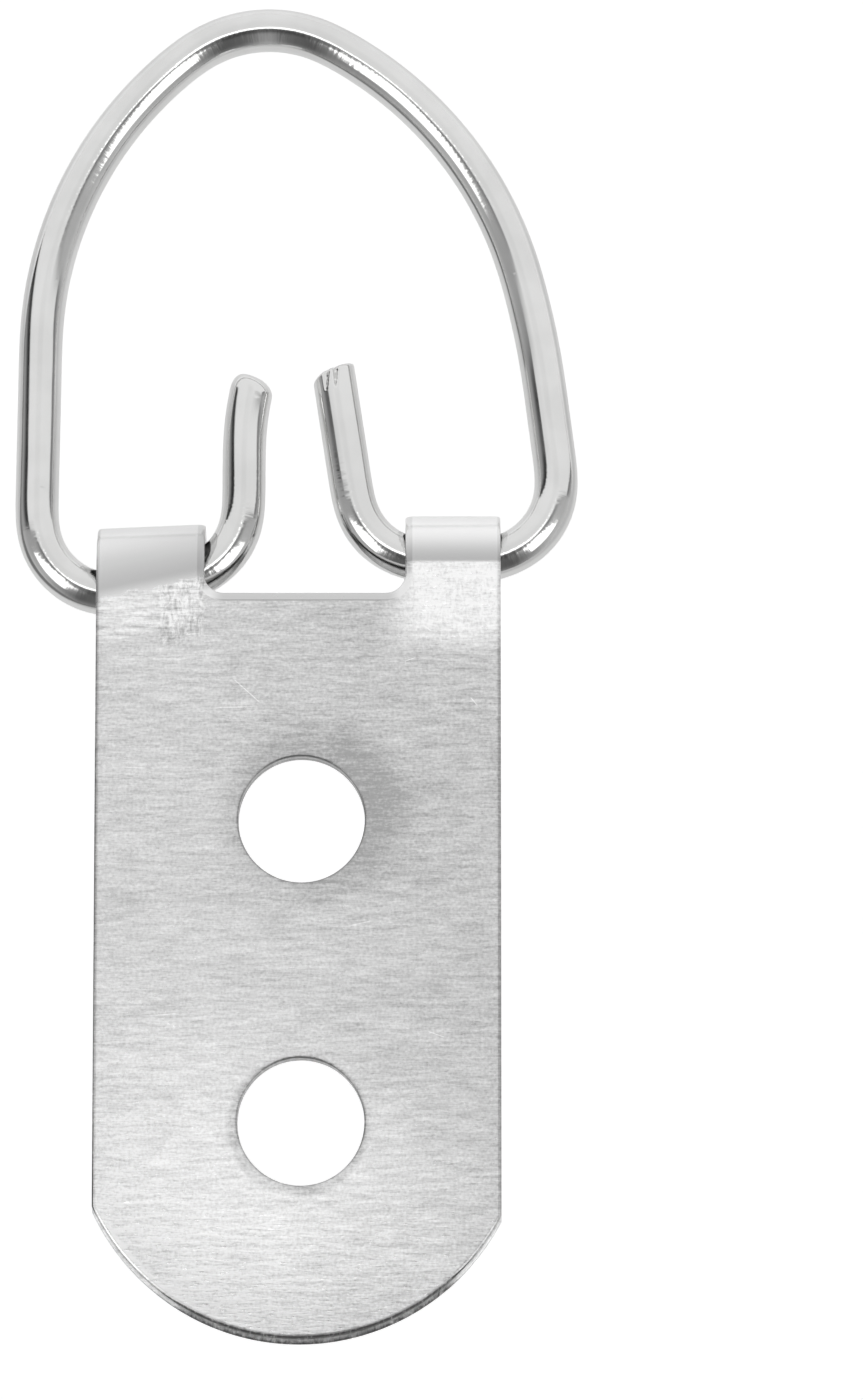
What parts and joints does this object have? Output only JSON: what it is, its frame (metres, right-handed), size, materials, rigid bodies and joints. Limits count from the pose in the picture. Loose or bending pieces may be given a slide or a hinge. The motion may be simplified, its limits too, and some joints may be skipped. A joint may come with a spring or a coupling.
{
  "type": "d ring picture hanger",
  "caption": "Strap hanger with a loose D ring: a steel strap folded double round a bent wire ring, with screw holes through both leaves.",
  "frame": {"origin": "on the strap's flat face, on the strap's centre line, midway between the two screw holes", "axes": "+Z out of the flat face that lies against the frame's wood, +Y along the strap towards the ring, +X across the strap"},
  "size_m": [0.023, 0.0549, 0.0039],
  "materials": {
    "strap_steel": "zinc plated, brushed across the strap",
    "ring_wire": "bright nickel plated"
  },
  "bodies": {
    "strap": {"strap": "strap_steel"},
    "ring": {"d_ring": "ring_wire"}
  },
  "joints": [
    {"name": "ring_swing", "type": "hinge", "parent": "strap", "child": "ring", "pos_m": [0, 0.01653, -0.00197], "axis": [0.9968, 0.0802, 0], "range_deg": [-110, 92]}
  ]
}
